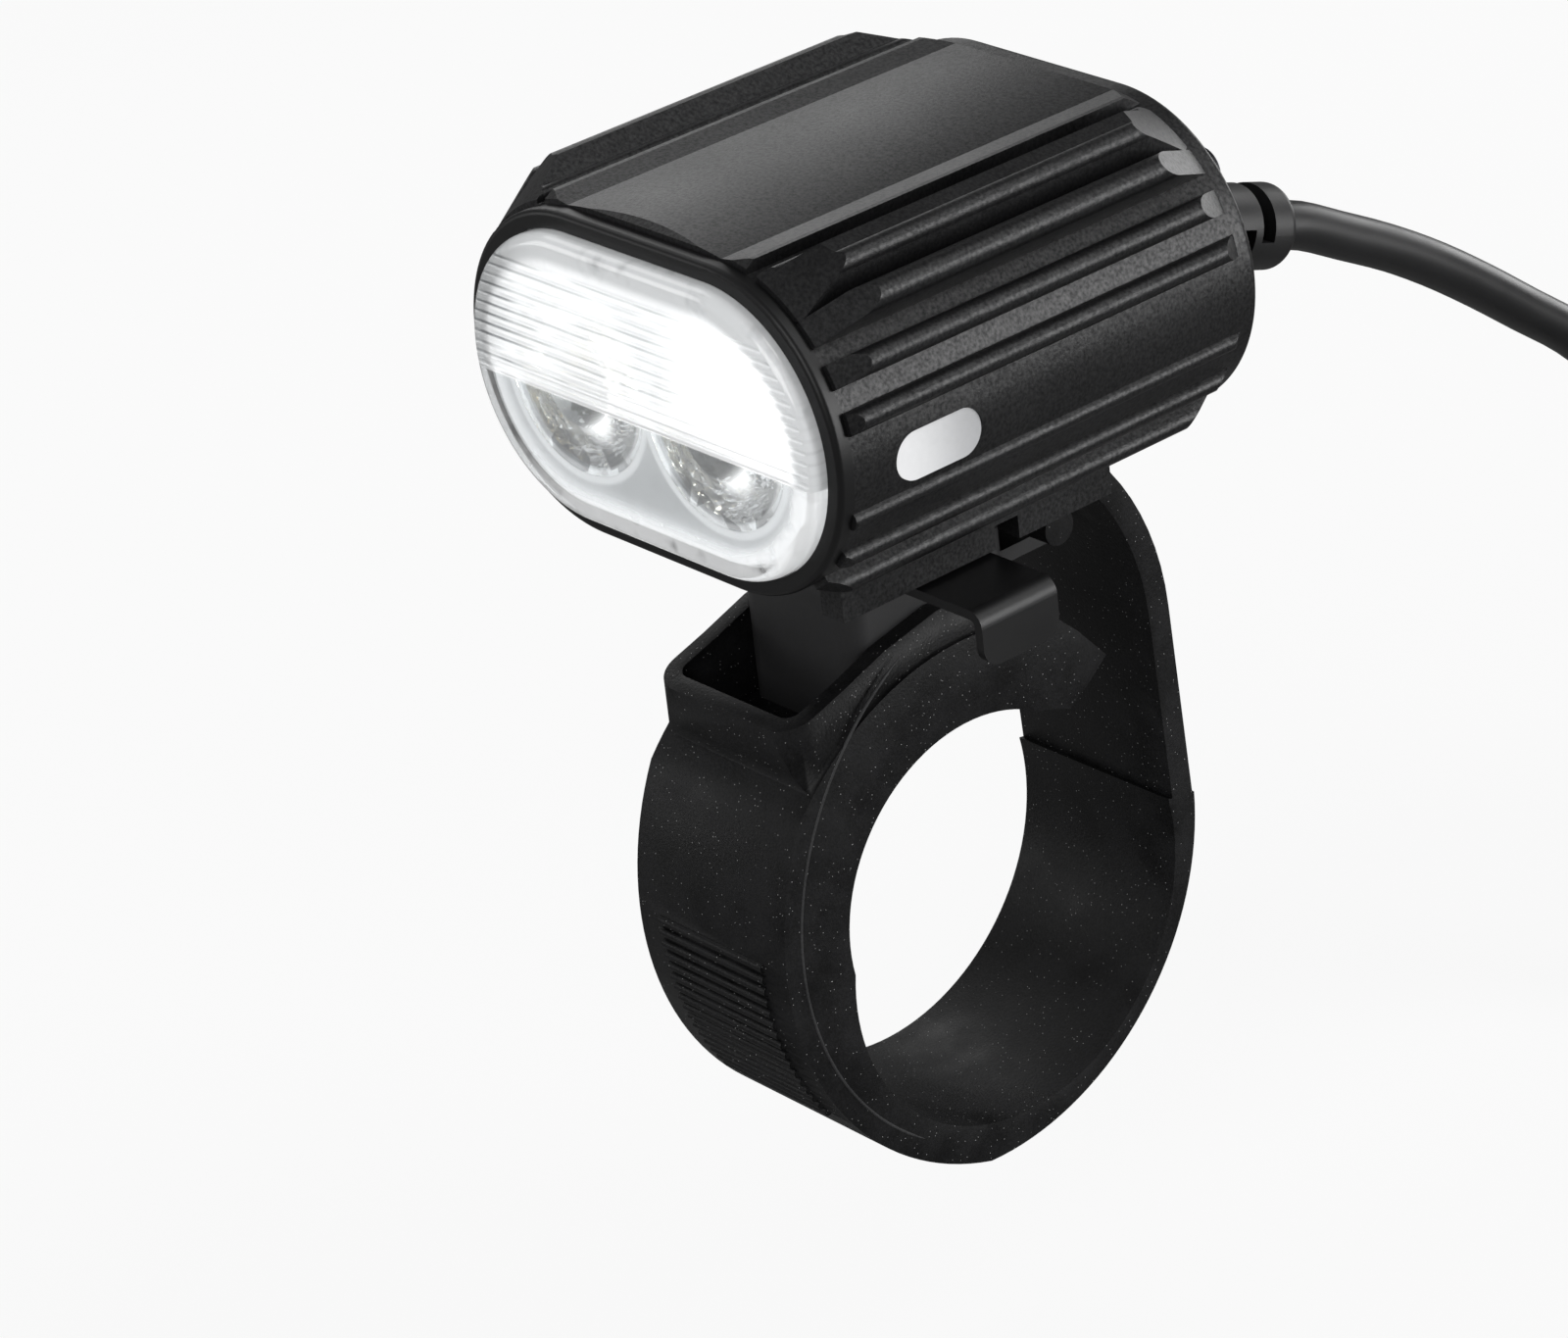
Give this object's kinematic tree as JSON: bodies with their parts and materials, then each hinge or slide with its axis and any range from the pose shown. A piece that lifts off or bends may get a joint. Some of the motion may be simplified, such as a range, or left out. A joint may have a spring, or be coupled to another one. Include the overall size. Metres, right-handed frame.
{
  "type": "bike headlight",
  "caption": "Bicycle headlight: ribbed aluminium lamp head with two optics, sliding off a rubber handlebar strap by a thumb lever, with a power lead.",
  "frame": {"origin": "centre of the handlebar's bore in the strap, at mid-width of the strap", "axes": "+X along the handlebar towards the lever's side, +Y from the lens towards the lead, +Z from the handlebar up to the lamp"},
  "size_m": [0.0555, 0.166, 0.1148],
  "materials": {
    "anodised": "satin black anodised",
    "lens": "clear moulded",
    "seal": "matt",
    "milky": "translucent white",
    "board_white": "white circuit board",
    "light_source": "yellow phosphor under a clear dome",
    "bare_aluminium": "machined",
    "steel": "bright",
    "board_green": "green circuit board",
    "component": "matt",
    "wire": "insulated wire",
    "lead": "matt",
    "plug": "matt",
    "contacts": "gold plated",
    "block_plastic": "smooth dark grey",
    "black_steel": "black coated spring steel",
    "strap_rubber": "matt, faintly dusty"
  },
  "bodies": {
    "mount": {"base_block": "block_plastic", "shoe_plate": "block_plastic", "shoe_screws": "steel", "lever_pin": "steel", "lever_spring": "steel", "rubber_strap": "strap_rubber"},
    "release": {"release_lever": "black_steel"},
    "lamp": {"housing": "anodised", "front_bezel": "anodised", "lens_cover": "lens", "lens_gasket": "seal", "optic_holder": "milky", "optic_right": "lens", "optic_left": "lens", "led_board": "board_white", "led_right": "light_source", "led_left": "light_source", "heat_core": "bare_aluminium", "core_screws": "steel", "driver_board": "board_green", "driver_parts": "component", "board_screws": "steel", "lead_wires": "wire", "window_right": "milky", "window_left": "milky", "side_leds": "board_white", "rear_gasket": "seal", "rear_cap": "anodised", "rear_screws": "steel", "strain_relief": "lead", "cable": "lead", "cable_coil": "lead", "coil_tie": "lead", "plug_relief": "lead", "plug_body": "plug", "plug_pins": "contacts"}
  },
  "joints": [
    {"name": "lamp_slide", "type": "slide", "parent": "mount", "child": "lamp", "axis": [0, -1, 0], "range_m": [0, 0.032]},
    {"name": "release_press", "type": "hinge", "parent": "mount", "child": "release", "pos_m": [-0.002, -0.005, 0.03315], "axis": [0, 1, 0], "range_deg": [0, 8], "stiffness_Nm_per_rad": 0.2, "springref_deg": -5.73, "deforming": ["lever_spring"]}
  ]
}
